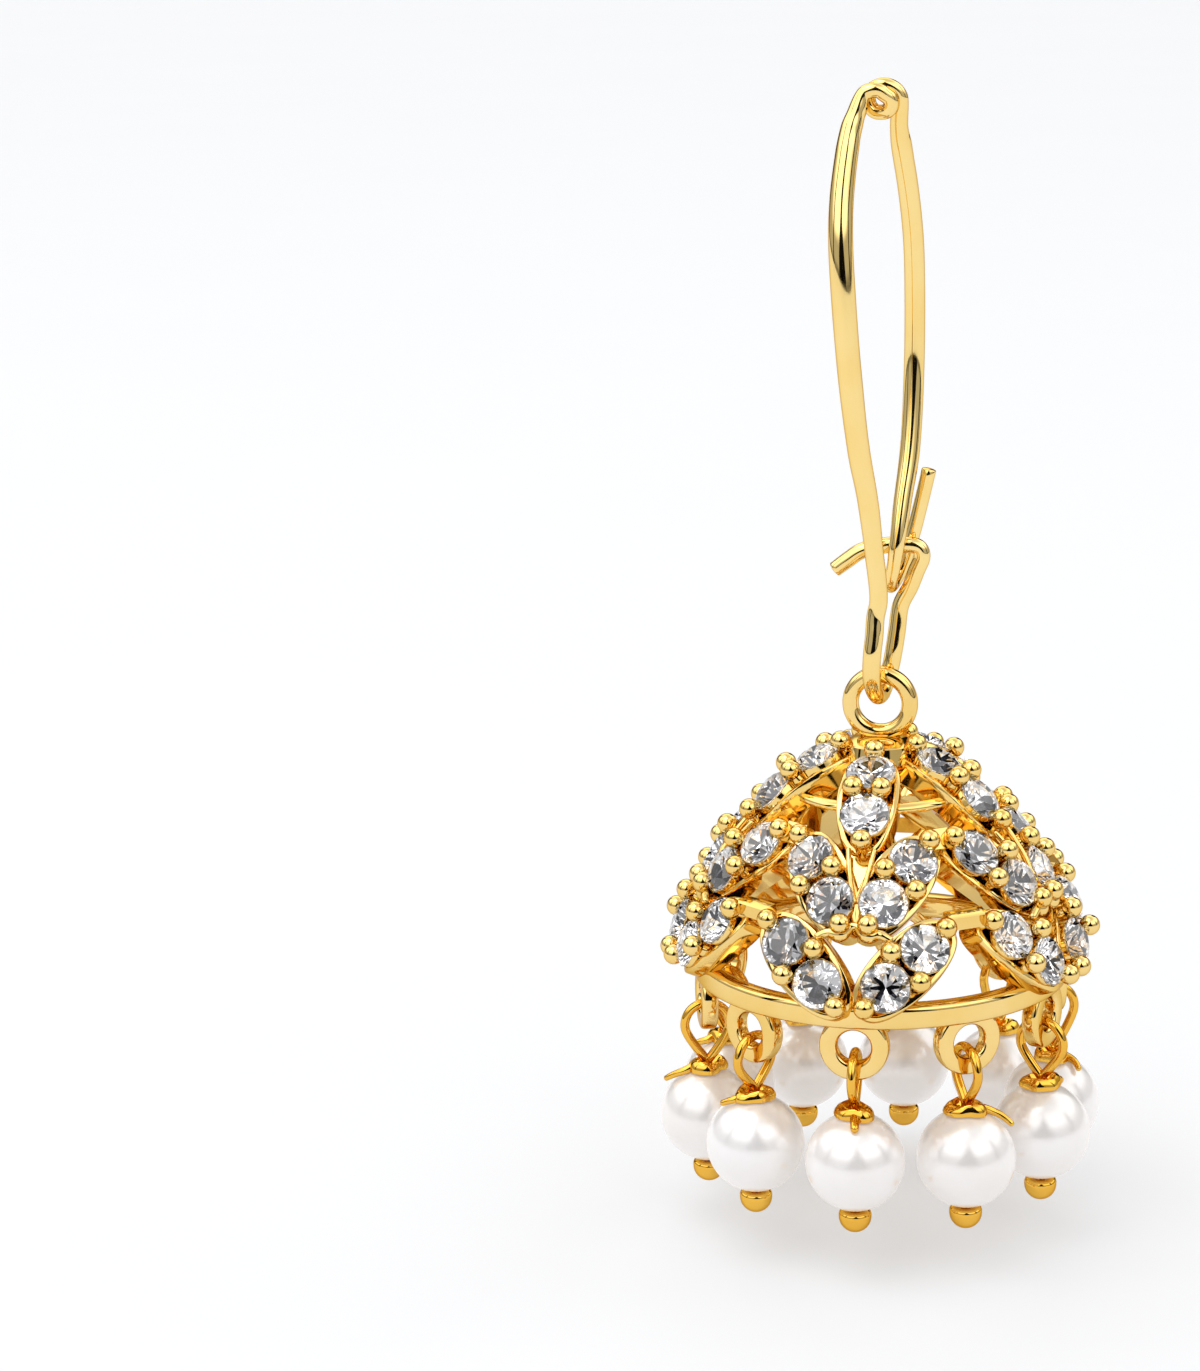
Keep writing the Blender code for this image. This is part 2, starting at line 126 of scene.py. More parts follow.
# Flat bars cast between the navettes. High and low: radius, and rise as a share of BELL_HEIGHT
EDGE_LINKS = [
    {"high": (7.45, 0.450), "low": (7.32, 0.385), "wide_high": 1.7, "wide_low": 1.7, "depth": 0.60,
     "round_by": 0.16},
    {"high": (4.75, 0.745), "low": (5.35, 0.672), "wide_high": 1.0, "wide_low": 1.3, "depth": 0.80,
     "round_by": 0.05},
]
MIDDLE_WEB = {"high": (4.95, 0.670), "low": (6.55, 0.500), "wide_high": 1.1, "wide_low": 0.35, "depth": 0.55,
              "round_by": 0.05}

# Strips under a crown navette, and the lobed bridge under a middle pair
STRIP_WIRE = 0.11
STRIP = [
    {"radius": 5.40, "rise": 0.685, "turn": 5.4},
    {"radius": 6.10, "rise": 0.605, "turn": 3.5},
    {"radius": 6.80, "rise": 0.510, "turn": 0.8},
]
BRIDGE_MIDDLE = {"radius": 7.26, "rise": 0.425, "turn": 0.0, "thick": 0.16}
BRIDGE_SIDE = [
    {"radius": 7.40, "rise": 0.392, "turn": 4.3, "thick": 0.36},
    {"radius": 7.48, "rise": 0.396, "turn": 8.0, "thick": 0.20},
    {"radius": 7.58, "rise": 0.378, "turn": 11.0, "thick": 0.18},
]

# Gallery ring that ties the crown navettes together
GALLERY_INNER = 3.36
GALLERY_OUTER = 3.74
GALLERY_LOW = -0.06
GALLERY_HIGH = 0.26
GALLERY_RISE = 0.80
GALLERY_SLOPE = 0.42
GALLERY_PIVOT = 3.45

# Bail ring and crown
BAIL_HOLE = 0.88
BAIL_OUTER = 1.55
BAIL_THICKNESS = 0.68
BAIL_ROUND = 0.30
CROWN_RADIUS = 1.35
CROWN_FOOT = -2.75
CROWN_SHOULDER = -2.3
CROWN_SEAT = 0.22

# Lugs
LUGS = 10
LUG_RING = 7.28
LUG_Z = PEARL_RING_Z + 5.1
LUG_HOLE = 0.68
LUG_OUTER = 1.40
LUG_THICKNESS = 0.70

# Pins and pearls
LOOP_RADIUS = 0.93
LOOP_WIRE = 0.19
LOOP_Z = PEARL_RING_Z + 3.85
CAP_RADIUS = 0.80
CAP_HEIGHT = 0.36
SHAFT_RADIUS = 0.21
HEAD_RADIUS = 0.66
HEAD_HEIGHT = 0.93
PEARL_GAP = 0.06
PEARL_RADIUS = 2.0
BORE_RADIUS = 0.31
# Share of its radius by which a pearl's surface may wander
PEARL_UNEVEN = 0.006
# Half the width of an eye where it enters the cap
EYE_FOOT = 0.20
# How much lower than the even ring each hand-closed pin lets its pearl hang, by lug from the front
PEARL_DROP = {
    "front": -0.2, "front_right": -0.1, "right": -0.05, "back_right": 0.35, "rear_right": 0.6,
    "back": 0.8, "rear_left": 0.6, "back_left": 0.35, "left": 0.05, "front_left": -0.2,
}

# How the wire's end leaves each wrapped cap: direction in degrees, length and how far it stands off
TAILS = {
    "front": {"turn": 8.0, "length": 0.42, "stand": 0.0},
    "front_right": {"turn": 98.0, "length": 1.05, "stand": 0.30},
    "right": {"turn": 150.0, "length": 0.50, "stand": 0.10},
    "back_right": {"turn": 60.0, "length": 0.60, "stand": 0.10},
    "rear_right": {"turn": 200.0, "length": 0.55, "stand": 0.10},
    "back": {"turn": -30.0, "length": 0.50, "stand": 0.10},
    "rear_left": {"turn": 170.0, "length": 0.60, "stand": 0.10},
    "back_left": {"turn": -80.0, "length": 0.70, "stand": 0.20},
    "left": {"turn": -78.0, "length": 0.95, "stand": 0.28},
    "front_left": {"turn": -70.0, "length": 0.55, "stand": 0.12},
}

# A tail longer than LONG_TAIL lies in a curve and tapers more
LONG_TAIL = 0.5
LONG_TAIL_BEND = 0.22
LONG_TAIL_TIP = 0.12
TAIL_ROOT = 0.30
TAIL_WIRE = 0.20
TAIL_TIP = 0.17
TAIL_GAP = 0.10
# Share of its length after which a tail stands off the pearl
TAIL_LIES = 0.45

# Cap: share of its radius and height over the pearl's top; where there is no height it lies on the pearl
CAP_PROFILE = [
    (0.22, 0.06), (0.34, 0.05), (0.46, 0.12), (0.58, 0.26), (0.72, 0.31), (0.86, 0.24), (0.96, 0.10),
    (1.00, -0.04), (0.98, -0.13), (0.90, None), (0.60, None), (0.28, None),
]
# Inside this share of its radius the cap is even; outside it its edge waves and swells
CAP_EVEN = 0.30
CAP_WAVES = [{"lobes": 2, "size": 0.10}, {"lobes": 3, "size": 0.07}, {"lobes": 5, "size": 0.04}]
CAP_SWELL = 0.30
CAP_SKIN = 0.01

# Ear wire
COIL_Z = 0.97
COIL_WIRE = 0.30
COIL_PITCH = 0.64
COIL_SHIFT = 0.12
COIL_STEPS = 27
COIL_START = 150.0
COIL_SWEEP = 500.0
# Depth of the coil from front to back, in pitches
COIL_DEPTH = 1.44
COIL_ENTRY = 0.78
COIL_INNER = 0.35
COIL_OUTER = 0.66
# Shares of the coil's length: tight from the first to the second, wide from the third
COIL_TIGHT_FROM = 0.16
COIL_TIGHT_TO = 0.50
COIL_WIDE_FROM = 0.72

# Golds: colour, colour of the deeper clouds, roughness, scale and strength of the soft waviness
GOLDS = {
    "pale_gold_wire": {
        "colour": (0.96, 0.72, 0.29), "deep": (0.94, 0.67, 0.23),
        "roughness": 0.07, "wave": 500.0, "bump": 0.15,
    },
    "pale_gold_casting": {
        "colour": (0.92, 0.665, 0.25), "deep": (0.88, 0.60, 0.18),
        "roughness": 0.07, "wave": 900.0, "bump": 0.25,
    },
    "deep_gold_pins": {
        "colour": (0.88, 0.50, 0.07), "deep": (0.84, 0.44, 0.05),
        "roughness": 0.08, "wave": 900.0, "bump": 0.25,
    },
}
# Painted reflections on the back facets of the stones, in the order of their marks; the glow is painted
# light, the facets being no lamp
FACETS = {
    "facets_painted_bright": {"colour": (0.96, 0.96, 0.97), "glow": 0.35},
    "facets_painted_dark": {"colour": (0.035, 0.035, 0.045), "glow": 0.0},
    "facets_painted_warm": {"colour": (0.86, 0.69, 0.53), "glow": 0.15},
}

# Stage: floor, lamp and camera. The lamp is in metres, the camera in millimetres and degrees.
FLOOR_Z = -45.2
FLOOR_REACH = 3000.0
LAMP_PLACE = (-0.12, -0.10, 0.42)
LAMP_AIM = (0.0, 0.0, -0.03)
LAMP_WIDTH = 0.30
LAMP_LENGTH = 0.24
LAMP_POWER = 0.55
CAMERA_PLACE = (19.682, -138.845, 12.711)
CAMERA_TURN = 12.7337
CAMERA_TILT = -14.0529
CAMERA_ROLL = -1.1819
CAMERA_LENS = 106.2

# Light tent: angles in degrees round the earring from the front, heights as the direction's z
OPENING_TURN = 14.0
# Half the width of the dark opening at the floor, in radians, and how fast it narrows with height
OPENING_REACH = 0.52
OPENING_TAPER = 0.58
WALL_GAPS = [
    {"turn": -62.0, "half_width": 5.0}, {"turn": 88.0, "half_width": 6.0},
    {"turn": 165.0, "half_width": 12.0}, {"turn": -130.0, "half_width": 8.0},
]
# How dark the openings are, and how softly they end
DARKNESS = 0.99
EDGE_SOFTNESS = 0.03
# Heights where the walls start and end, where the bright band grows and where the roof is dimmest
WALL_FOOT = 0.07
WALL_TOP = 0.72
BAND_LOW = 0.24
BAND_HIGH = 0.50
ROOF_TOP = 0.95
WALL_LOW_LIGHT = 0.14
WALL_LIGHT = 0.36
BAND_LIGHT = 1.25
ROOF_DIP = 0.90
BACKDROP_LIGHT = 0.985


class Build:
    # Gathers vertices and faces in millimetres, then makes one object
    def __init__(self):
        self.points = []
        self.faces = []
        self.marks = []

    def add(self, points, faces, marks=None):
        start = len(self.points)
        self.points.extend(points)
        self.faces.extend(tuple(start + i for i in face) for face in faces)
        self.marks.extend(marks or [0] * len(faces))

    def rings(self, rings, closed=False, cap_start=True, cap_end=True):
        # rings: equal lists of points; faces run between each ring and the next
        count = len(rings[0])
        points = [p for ring in rings for p in ring]
        faces = []
        total = len(rings)
        for r in range(total if closed else total - 1):
            for s in range(count):
                t = (s + 1) % count
                a = r * count + s
                b = r * count + t
                c = ((r + 1) % total) * count + t
                d = ((r + 1) % total) * count + s
                faces.append((a, b, c, d))
        if not closed and cap_start:
            faces.append(tuple(reversed(range(count))))
        if not closed and cap_end:
            faces.append(tuple((total - 1) * count + s for s in range(count)))
        self.add(points, faces)

    def make(self, name, materials, smooth=40.0):
        mesh = bpy.data.meshes.new(name)
        mesh.from_pydata([(p.x * MM, p.y * MM, p.z * MM) for p in self.points], [], self.faces)
        for material in materials:
            mesh.materials.append(material)
        mesh.polygons.foreach_set("material_index", self.marks)
        mesh.validate()
        mesh.update()
        if smooth is None:
            mesh.shade_flat()
        else:
            mesh.shade_smooth()
            mesh.set_sharp_from_angle(angle=math.radians(smooth))
        thing = bpy.data.objects.new(name, mesh)
        bpy.context.scene.collection.objects.link(thing)
        return thing


def sector_point(radius, turn, z):
    # A point round the upright axis; turn is in degrees from the front
    angle = math.radians(turn)
    return Vector((radius * math.sin(angle), -radius * math.cos(angle), z))


def basis(centre, x_axis, y_axis, z_axis):
    # A frame from its centre and its three axes
    return Matrix((
        (x_axis.x, y_axis.x, z_axis.x, centre.x),
        (x_axis.y, y_axis.y, z_axis.y, centre.y),
        (x_axis.z, y_axis.z, z_axis.z, centre.z),
        (0.0, 0.0, 0.0, 1.0),
    ))


def smooth_path(points, closed=False, steps=8):
    # Centripetal curve through points given as (Vector, radius)
    count = len(points)
    out = []

    def at(i):
        if closed:
            return points[i % count]
        return points[max(0, min(count - 1, i))]

    last = count if closed else count - 1
    for i in range(last):
        p0 = at(i - 1)
        p1 = at(i)
        p2 = at(i + 1)
        p3 = at(i + 2)
        spans = [max(0.001, (b[0] - a[0]).length) ** 0.5 for a, b in ((p0, p1), (p1, p2), (p2, p3))]
        leave = p2[0] - p1[0]
        arrive = p2[0] - p1[0]
        if (p1[0] - p0[0]).length > 1e-6:
            leave = ((p1[0] - p0[0]) / spans[0] - (p2[0] - p0[0]) / (spans[0] + spans[1])
                     + (p2[0] - p1[0]) / spans[1]) * spans[1]
        if (p3[0] - p2[0]).length > 1e-6:
            arrive = ((p2[0] - p1[0]) / spans[1] - (p3[0] - p1[0]) / (spans[1] + spans[2])
                      + (p3[0] - p2[0]) / spans[2]) * spans[1]
        for s in range(steps):
            t = s / steps
            t2 = t * t
            t3 = t2 * t
            place = (p1[0] * (2 * t3 - 3 * t2 + 1) + leave * (t3 - 2 * t2 + t)
                     + p2[0] * (-2 * t3 + 3 * t2) + arrive * (t3 - t2))
            out.append((place, p1[1] + (p2[1] - p1[1]) * (3 * t2 - 2 * t3)))
    if not closed:
        out.append(points[-1])
    return out


def tube(build, path, sides=16, closed=False, dome=0.6):
    # path: list of (Vector, radius); the section is carried along without twist
    count = len(path)
    tangents = []
    for i in range(count):
        if closed:
            before = path[(i - 1) % count][0]
            after = path[(i + 1) % count][0]
        else:
            before = path[max(i - 1, 0)][0]
            after = path[min(i + 1, count - 1)][0]
        tangents.append((after - before).normalized())
    side = tangents[0].orthogonal().normalized()
    frames = []
    for i in range(count):
        t = tangents[i]
        side = (side - t * side.dot(t)).normalized()
        frames.append((side.copy(), t.cross(side)))
    twist = 0.0
    if closed:
        end = frames[-1][0]
        t = tangents[0]
        end = (end - t * end.dot(t)).normalized()
        twist = math.atan2(end.dot(frames[0][1]), end.dot(frames[0][0]))
    rings = []
    for i in range(count):
        place, radius = path[i]
        a0 = -twist * i / count
        side, other = frames[i]
        rings.append([
            place + side * (radius * math.cos(a0 + 2 * math.pi * s / sides))
            + other * (radius * math.sin(a0 + 2 * math.pi * s / sides))
            for s in range(sides)
        ])
    if closed:
        build.rings(rings, closed=True)
        return

    def dome_rings(i, direction):
        place, radius = path[i]
        side, other = frames[i]
        out = []
        for k in (1, 2, 3):
            a = k / 3.4 * math.pi * 0.5
            r = radius * math.cos(a)
            shift = direction * (radius * dome * math.sin(a))
            out.append([
                place + shift + side * (r * math.cos(2 * math.pi * s / sides))
                + other * (r * math.sin(2 * math.pi * s / sides))
                for s in range(sides)
            ])
        return out

    start = list(reversed(dome_rings(0, -tangents[0])))
    finish = dome_rings(count - 1, tangents[-1])
    build.rings(start + rings + finish)


def revolve(build, frame, profile, sides):
    # profile: (radius, height) from the bottom to the top, first and last near the axis
    rings = []
    for radius, w in profile:
        r = max(radius, AXIS_RADIUS)
        rings.append([
            frame @ Vector((r * math.cos(2 * math.pi * s / sides), r * math.sin(2 * math.pi * s / sides), w))
            for s in range(sides)
        ])
    build.rings(rings)


def hoop(build, frame, section, sides):
    # section: closed list of (radius, height) turned all the way round
    rings = []
    for s in range(sides):
        a = 2 * math.pi * s / sides
        rings.append([
            frame @ Vector((radius * math.cos(a), radius * math.sin(a), w))
            for radius, w in reversed(section)
        ])
    build.rings(rings, closed=True)


def rounded_section(inner, outer, low, high, round_by, steps):
    # A rectangle with round corners, anticlockwise as (radius, height)
    corners = [
        (outer - round_by, low + round_by, -90.0), (outer - round_by, high - round_by, 0.0),
        (inner + round_by, high - round_by, 90.0), (inner + round_by, low + round_by, 180.0),
    ]
    out = []
    for cx, cy, start in corners:
        for k in range(steps + 1):
            a = math.radians(start + 90.0 * k / steps)
            out.append((cx + round_by * math.cos(a), cy + round_by * math.sin(a)))
    return out


# Materials

def new_material(name):
    mat = bpy.data.materials.new(name)
    mat.use_nodes = True
    tree = mat.node_tree
    shader = tree.nodes["Principled BSDF"]
    return mat, tree, shader


def gold_material(name):
    # Polished plate: a faint cloud of colour, fine polishing lines and soft waviness
    look = GOLDS[name]
    mat, tree, shader = new_material(name)
    nodes = tree.nodes
    links = tree.links
    coords = nodes.new("ShaderNodeTexCoord")
    cloud = nodes.new("ShaderNodeTexNoise")
    cloud.inputs["Scale"].default_value = 420.0
    cloud.inputs["Detail"].default_value = 3.0
    links.new(coords.outputs["Object"], cloud.inputs["Vector"])
    ramp = nodes.new("ShaderNodeValToRGB")
    ramp.color_ramp.elements[0].position = 0.30
    ramp.color_ramp.elements[0].color = (*look["deep"], 1.0)
    ramp.color_ramp.elements[1].position = 0.62
    ramp.color_ramp.elements[1].color = (*look["colour"], 1.0)
    links.new(cloud.outputs["Fac"], ramp.inputs["Fac"])
    links.new(ramp.outputs["Color"], shader.inputs["Base Color"])
    fine = nodes.new("ShaderNodeTexNoise")
    fine.inputs["Scale"].default_value = 5200.0
    fine.inputs["Detail"].default_value = 2.0
    links.new(coords.outputs["Object"], fine.inputs["Vector"])
    rough = nodes.new("ShaderNodeMapRange")
    rough.inputs["From Min"].default_value = 0.3
    rough.inputs["From Max"].default_value = 0.7
    rough.inputs["To Min"].default_value = look["roughness"] * 0.7
    rough.inputs["To Max"].default_value = look["roughness"] * 1.3
    links.new(fine.outputs["Fac"], rough.inputs["Value"])
    links.new(rough.outputs["Result"], shader.inputs["Roughness"])
    wave = nodes.new("ShaderNodeTexNoise")
    wave.inputs["Scale"].default_value = look["wave"]
    wave.inputs["Detail"].default_value = 1.0
    links.new(coords.outputs["Object"], wave.inputs["Vector"])
    bump_node = nodes.new("ShaderNodeBump")
    bump_node.inputs["Strength"].default_value = look["bump"]
    bump_node.inputs["Distance"].default_value = 0.00002
    links.new(wave.outputs["Fac"], bump_node.inputs["Height"])
    links.new(bump_node.outputs["Normal"], shader.inputs["Normal"])
    shader.inputs["Metallic"].default_value = 1.0
    shader.inputs["Specular Tint"].default_value = (0.62, 0.42, 0.18, 1.0)
    shader.inputs["Coat Weight"].default_value = 0.2
    shader.inputs["Coat Roughness"].default_value = 0.04
    return mat


def stone_material():
    mat, _, shader = new_material("clear_stone")
    shader.inputs["Base Color"].default_value = (0.985, 0.985, 0.99, 1.0)
    shader.inputs["Roughness"].default_value = 0.0
    shader.inputs["IOR"].default_value = 2.15
    shader.inputs["Specular IOR Level"].default_value = 0.12
    shader.inputs["Transmission Weight"].default_value = 1.0
    return mat


def painted_facet_material(name):
    # The back facets of a stone, painted one by one with bright, dark or warm reflections and a painted glow
    look = FACETS[name]
    mat, _, shader = new_material(name)
    shader.inputs["Base Color"].default_value = (*look["colour"], 1.0)
    shader.inputs["Roughness"].default_value = 0.02
    shader.inputs["Metallic"].default_value = 1.0
    # Painted glow: emission makes the facet shine though it is no lamp
    shader.inputs["Emission Color"].default_value = (*look["colour"], 1.0)
    shader.inputs["Emission Strength"].default_value = look["glow"]
    return mat


def pearl_material():
    # White nacre: soft clouds of tone, a satin mirror under a thin coat, a warm edge and a painted cream
    # glow that lifts the shaded sides
    mat, tree, shader = new_material("pearl_nacre")
    nodes = tree.nodes
    links = tree.links
    coords = nodes.new("ShaderNodeTexCoord")
    cloud = nodes.new("ShaderNodeTexNoise")
    cloud.inputs["Scale"].default_value = 300.0
    cloud.inputs["Detail"].default_value = 4.0
    links.new(coords.outputs["Object"], cloud.inputs["Vector"])
    ramp = nodes.new("ShaderNodeValToRGB")
    ramp.color_ramp.elements[0].position = 0.35
    ramp.color_ramp.elements[0].color = (0.715, 0.695, 0.685, 1.0)
    ramp.color_ramp.elements[1].position = 0.65
    ramp.color_ramp.elements[1].color = (0.745, 0.735, 0.745, 1.0)
    links.new(cloud.outputs["Fac"], ramp.inputs["Fac"])
    links.new(ramp.outputs["Color"], shader.inputs["Base Color"])
    fine = nodes.new("ShaderNodeTexNoise")
    fine.inputs["Scale"].default_value = 2600.0
    links.new(coords.outputs["Object"], fine.inputs["Vector"])
    bump_node = nodes.new("ShaderNodeBump")
    bump_node.inputs["Strength"].default_value = 0.06
    bump_node.inputs["Distance"].default_value = 0.00002
    links.new(fine.outputs["Fac"], bump_node.inputs["Height"])
    links.new(bump_node.outputs["Normal"], shader.inputs["Normal"])
    shader.inputs["Metallic"].default_value = 0.36
    shader.inputs["Roughness"].default_value = 0.25
    # Painted light: a faint cream glow lifts the shade on the pearls
    shader.inputs["Emission Color"].default_value = (1.0, 0.94, 0.87, 1.0)
    shader.inputs["Emission Strength"].default_value = 0.19
    shader.inputs["Coat Weight"].default_value = 0.3
    shader.inputs["Coat Roughness"].default_value = 0.15
    shader.inputs["Sheen Weight"].default_value = 0.15
    shader.inputs["Sheen Roughness"].default_value = 0.4
    shader.inputs["Sheen Tint"].default_value = (1.0, 0.86, 0.72, 1.0)
    return mat


def floor_material():
    mat, tree, shader = new_material("pale_floor")
    nodes = tree.nodes
    links = tree.links
    coords = nodes.new("ShaderNodeTexCoord")
    grain = nodes.new("ShaderNodeTexNoise")
    grain.inputs["Scale"].default_value = 30.0
    links.new(coords.outputs["Object"], grain.inputs["Vector"])
    ramp = nodes.new("ShaderNodeValToRGB")
    ramp.color_ramp.elements[0].color = (0.410, 0.416, 0.428, 1.0)
    ramp.color_ramp.elements[1].color = (0.420, 0.426, 0.438, 1.0)
    links.new(grain.outputs["Fac"], ramp.inputs["Fac"])
    links.new(ramp.outputs["Color"], shader.inputs["Base Color"])
    shader.inputs["Roughness"].default_value = 0.7
    shader.inputs["Specular IOR Level"].default_value = 0.2
    shader.inputs["Emission Color"].default_value = (1.0, 1.0, 1.0, 1.0)
    shader.inputs["Emission Strength"].default_value = 0.425
    return mat


# Settings of the bell

def prong_point(kind, place_name, sector, mirror):
    row = PRONG_PLACES[kind][place_name]
    turn = row["turn"] * mirror + sector * 360.0 / SECTORS
    return sector_point(row["radius"] * RIM_RADIUS, turn, RIM_Z + row["rise"] * BELL_HEIGHT)


def setting_frame(kind, sector, mirror):
    # A navette's frame (u along it, v across it, w outward), half length, half waist and bulge
    tip_a = prong_point(kind, "outer_tip", sector, mirror)
    tip_b = prong_point(kind, "inner_tip", sector, mirror)
    waist_a = prong_point(kind, "upper_waist", sector, mirror)
    waist_b = prong_point(kind, "lower_waist", sector, mirror)
    middle = (tip_a + tip_b) * 0.5
    u = (tip_a - tip_b).normalized()
    v = waist_a - waist_b
    v = (v - u * v.dot(u)).normalized()
    w = u.cross(v)
    if w.dot(Vector((middle.x, middle.y, 2.0))) < 0.0:
        v = -v
        w = -w
    waist = (waist_a + waist_b) * 0.5
    bulge = (waist - middle).dot(w)
    half_length = (tip_a - tip_b).length * 0.5
    half_waist = abs((waist_a - waist_b).dot(v)) * 0.5
    return basis(middle, u, v, w), half_length, half_waist, bulge


def settings():
    # Every navette of the bell: kind, sector and hand
    for sector in range(SECTORS):
        yield "crown", sector, 1.0
        for kind in ("middle", "lower"):
            yield kind, sector, 1.0
            yield kind, sector, -1.0


def lift(u, half_length, bulge):
    # Height of a tray's edge along its length, bent with the dome
    return bulge * (1.0 - (u / half_length) ** 2) - PRONG_RISE


def navette_outline(half_length, inset):
    # A pointed oval as (u, v)
    length = half_length + TRAY_TIP_REACH - inset
    width = TRAY_HALF_WIDTH - inset
    out = []
    for i in range(NAVETTE_SIDES):
        a = 2 * math.pi * i / NAVETTE_SIDES
        c = math.cos(a)
        s = math.sin(a)
        u = length * math.copysign(abs(c) ** (2 / NAVETTE_TIP_POWER), c)
        v = width * math.copysign(abs(s) ** (2 / NAVETTE_SIDE_POWER), s)
        out.append((u, v))
    return out


def soft_section(inner, outer, low, high, power, count):
    # A rectangle whose sides swell a little, anticlockwise as (radius, height)
    out = []
    for k in range(count):
        a = 2 * math.pi * k / count
        c = math.cos(a)
        s = math.sin(a)
        out.append(((inner + outer) / 2 + (outer - inner) / 2 * math.copysign(abs(c) ** (2 / power), c),
                    (low + high) / 2 + (high - low) / 2 * math.copysign(abs(s) ** (2 / power), s)))
    return out


def add_tray(build, frame, half_length, bulge):
    # A cup with a narrow flange. Its section gives inset from the outline and height over the edge.
    section = [
        (0.10, -TRAY_DEPTH), (0.02, -TRAY_DEPTH + 0.05), (0.0, -0.30), (0.0, -0.07), (0.02, -0.02),
        (0.06, 0.0), (TRAY_FLANGE, 0.0), (TRAY_FLANGE + 0.03, -0.03), (TRAY_FLANGE + 0.06, -0.70),
    ]
    rings = []
    for inset, w in section:
        rings.append([
            frame @ Vector((u, v, lift(u, half_length, bulge) + w))
            for u, v in navette_outline(half_length, inset)
        ])
    build.rings(rings)


def stone_frames(kind, sector, mirror):
    frame, half_length, _, bulge = setting_frame(kind, sector, mirror)
    for side in (-1.0, 1.0):
        u = side * STONE_SPACING * 0.5
        slope = -2.0 * bulge * u / half_length ** 2
        seat = Matrix.Translation((u, 0.0, lift(u, half_length, bulge)))
        yield frame @ seat @ Matrix.Rotation(-math.atan(slope), 4, "Y")


def add_collar(build, frame):
    # The seat under a stone's girdle
    hoop(build, frame, [
        (0.86, -0.80), (0.97, -0.80), (1.0, STONE_LIFT - 0.06), (0.98, STONE_LIFT - 0.02),
        (0.93, STONE_LIFT - 0.03), (0.90, STONE_LIFT - 0.08),
    ], sides=40)


def add_stone(build, frame, turn, rng):
    # A round brilliant: table, star, kite and girdle facets above, main and lower facets below
    frame = frame @ Matrix.Rotation(turn, 4, "Z") @ Matrix.Translation((0.0, 0.0, STONE_LIFT))
    count = STONE_FACETS
    step = 2 * math.pi / count
    # How far a facet's middle stands in from its corners
    half = math.cos(step / 2)

    def ring(share, height, shift):
        r = share * STONE_RADIUS
        return [Vector((r * math.cos(step * (i + shift)), r * math.sin(step * (i + shift)),
                        height * STONE_RADIUS)) for i in range(count)]

    star_height = STONE_CROWN * (1 - (STONE_STAR * half - STONE_TABLE) / (1 - STONE_TABLE))
    lower_height = -STONE_GIRDLE - STONE_PAVILION * (1 - STONE_LOWER * half)
    under_corner = ring(1.0, -STONE_GIRDLE, 0.0)
    under_middle = ring(1.0, -STONE_GIRDLE, 0.5)
    around_culet = ring(STONE_LOWER, lower_height, 0.5)
    rings = [
        ring(STONE_TABLE, STONE_CROWN, 0.0), ring(STONE_STAR, star_height, 0.5), ring(1.0, 0.0, 0.0),
        ring(1.0, 0.0, 0.5), under_corner, under_middle, around_culet,
        [around_culet[i].lerp(under_corner[i], STONE_SPLIT) for i in range(count)],
        [around_culet[i - 1].lerp(under_corner[i], STONE_SPLIT) for i in range(count)],
        [around_culet[i].lerp(under_middle[i], STONE_SPLIT) for i in range(count)],
        [Vector((0.0, 0.0, (-STONE_GIRDLE - STONE_PAVILION) * STONE_RADIUS))],
    ]
    points = [frame @ p for group in rings for p in group]
    # Each ring's first point. Corners and middles are on the girdle, then on its underside.
    (table, star, corner, middle, low_corner, low_middle, lower, right, left, centre,
     culet) = (count * number for number in range(len(rings)))
    faces = [tuple(range(count))]
    back = {"star": [], "wedge": [], "ring": []}
    for i in range(count):
        after = (i + 1) % count
        before = (i - 1) % count
        faces.append((table + i, star + i, table + after))
        faces.append((table + i, star + before, corner + i, star + i))
        faces.append((star + i, corner + i, middle + i))
        faces.append((star + i, middle + i, corner + after))
        faces.append((corner + i, low_corner + i, low_middle + i, middle + i))
        faces.append((middle + i, low_middle + i, low_corner + after, corner + after))
        back["star"].append((culet, lower + i, right + i, left + i, lower + before))
        back["wedge"].append((lower + i, centre + i, right + i))
        back["wedge"].append((lower + i, left + after, centre + i))
        back["ring"].append((right + i, low_corner + i, left + i))
        back["ring"].append((centre + i, low_middle + i, low_corner + i, right + i))
        back["ring"].append((left + after, low_corner + after, low_middle + i, centre + i))
    # Top facets are clear; each back facet draws its flash as a painted reflection
    marks = [0] * len(faces)
    for name, group in back.items():
        for face in group:
            faces.append(face)
            marks.append(rng.choices(PAINTED_FLASH_MARKS, weights=PAINTED_FLASHES[name])[0])
    build.add(points, faces, marks)


def add_prong(build, frame, u, v, base):
    # A tapered stem with a round bead on it
    spot = frame @ Matrix.Translation((u, v, base))
    neck = -math.sqrt(PRONG_RADIUS ** 2 - (PRONG_STEM * 0.92) ** 2)
    root = -PRONG_RISE - PRONG_ROOT
    profile = [
        (0.0, root), (PRONG_STEM * 1.15, root), (PRONG_STEM * 1.05, -0.50), (PRONG_STEM * 0.94, neck - 0.03),
    ]
    start = math.asin(neck / PRONG_RADIUS)
    bands = 11
    for k in range(bands + 1):
        a = start + (math.pi / 2 - start) * k / bands
        profile.append((PRONG_RADIUS * math.cos(a), PRONG_RADIUS * math.sin(a)))
    revolve(build, spot, profile, sides=24)


def add_plate(build, corners, normal, depth, round_by):
    # A flat bar from four outer corners, as deep as depth, with softened outer edges
    middle = sum(corners, Vector()) / len(corners)
    inner = [c + (middle - c).normalized() * round_by for c in corners]
    rings = [
        [c - normal * depth for c in corners],
        [c - normal * round_by for c in corners],
        inner,
    ]
    build.rings(rings)


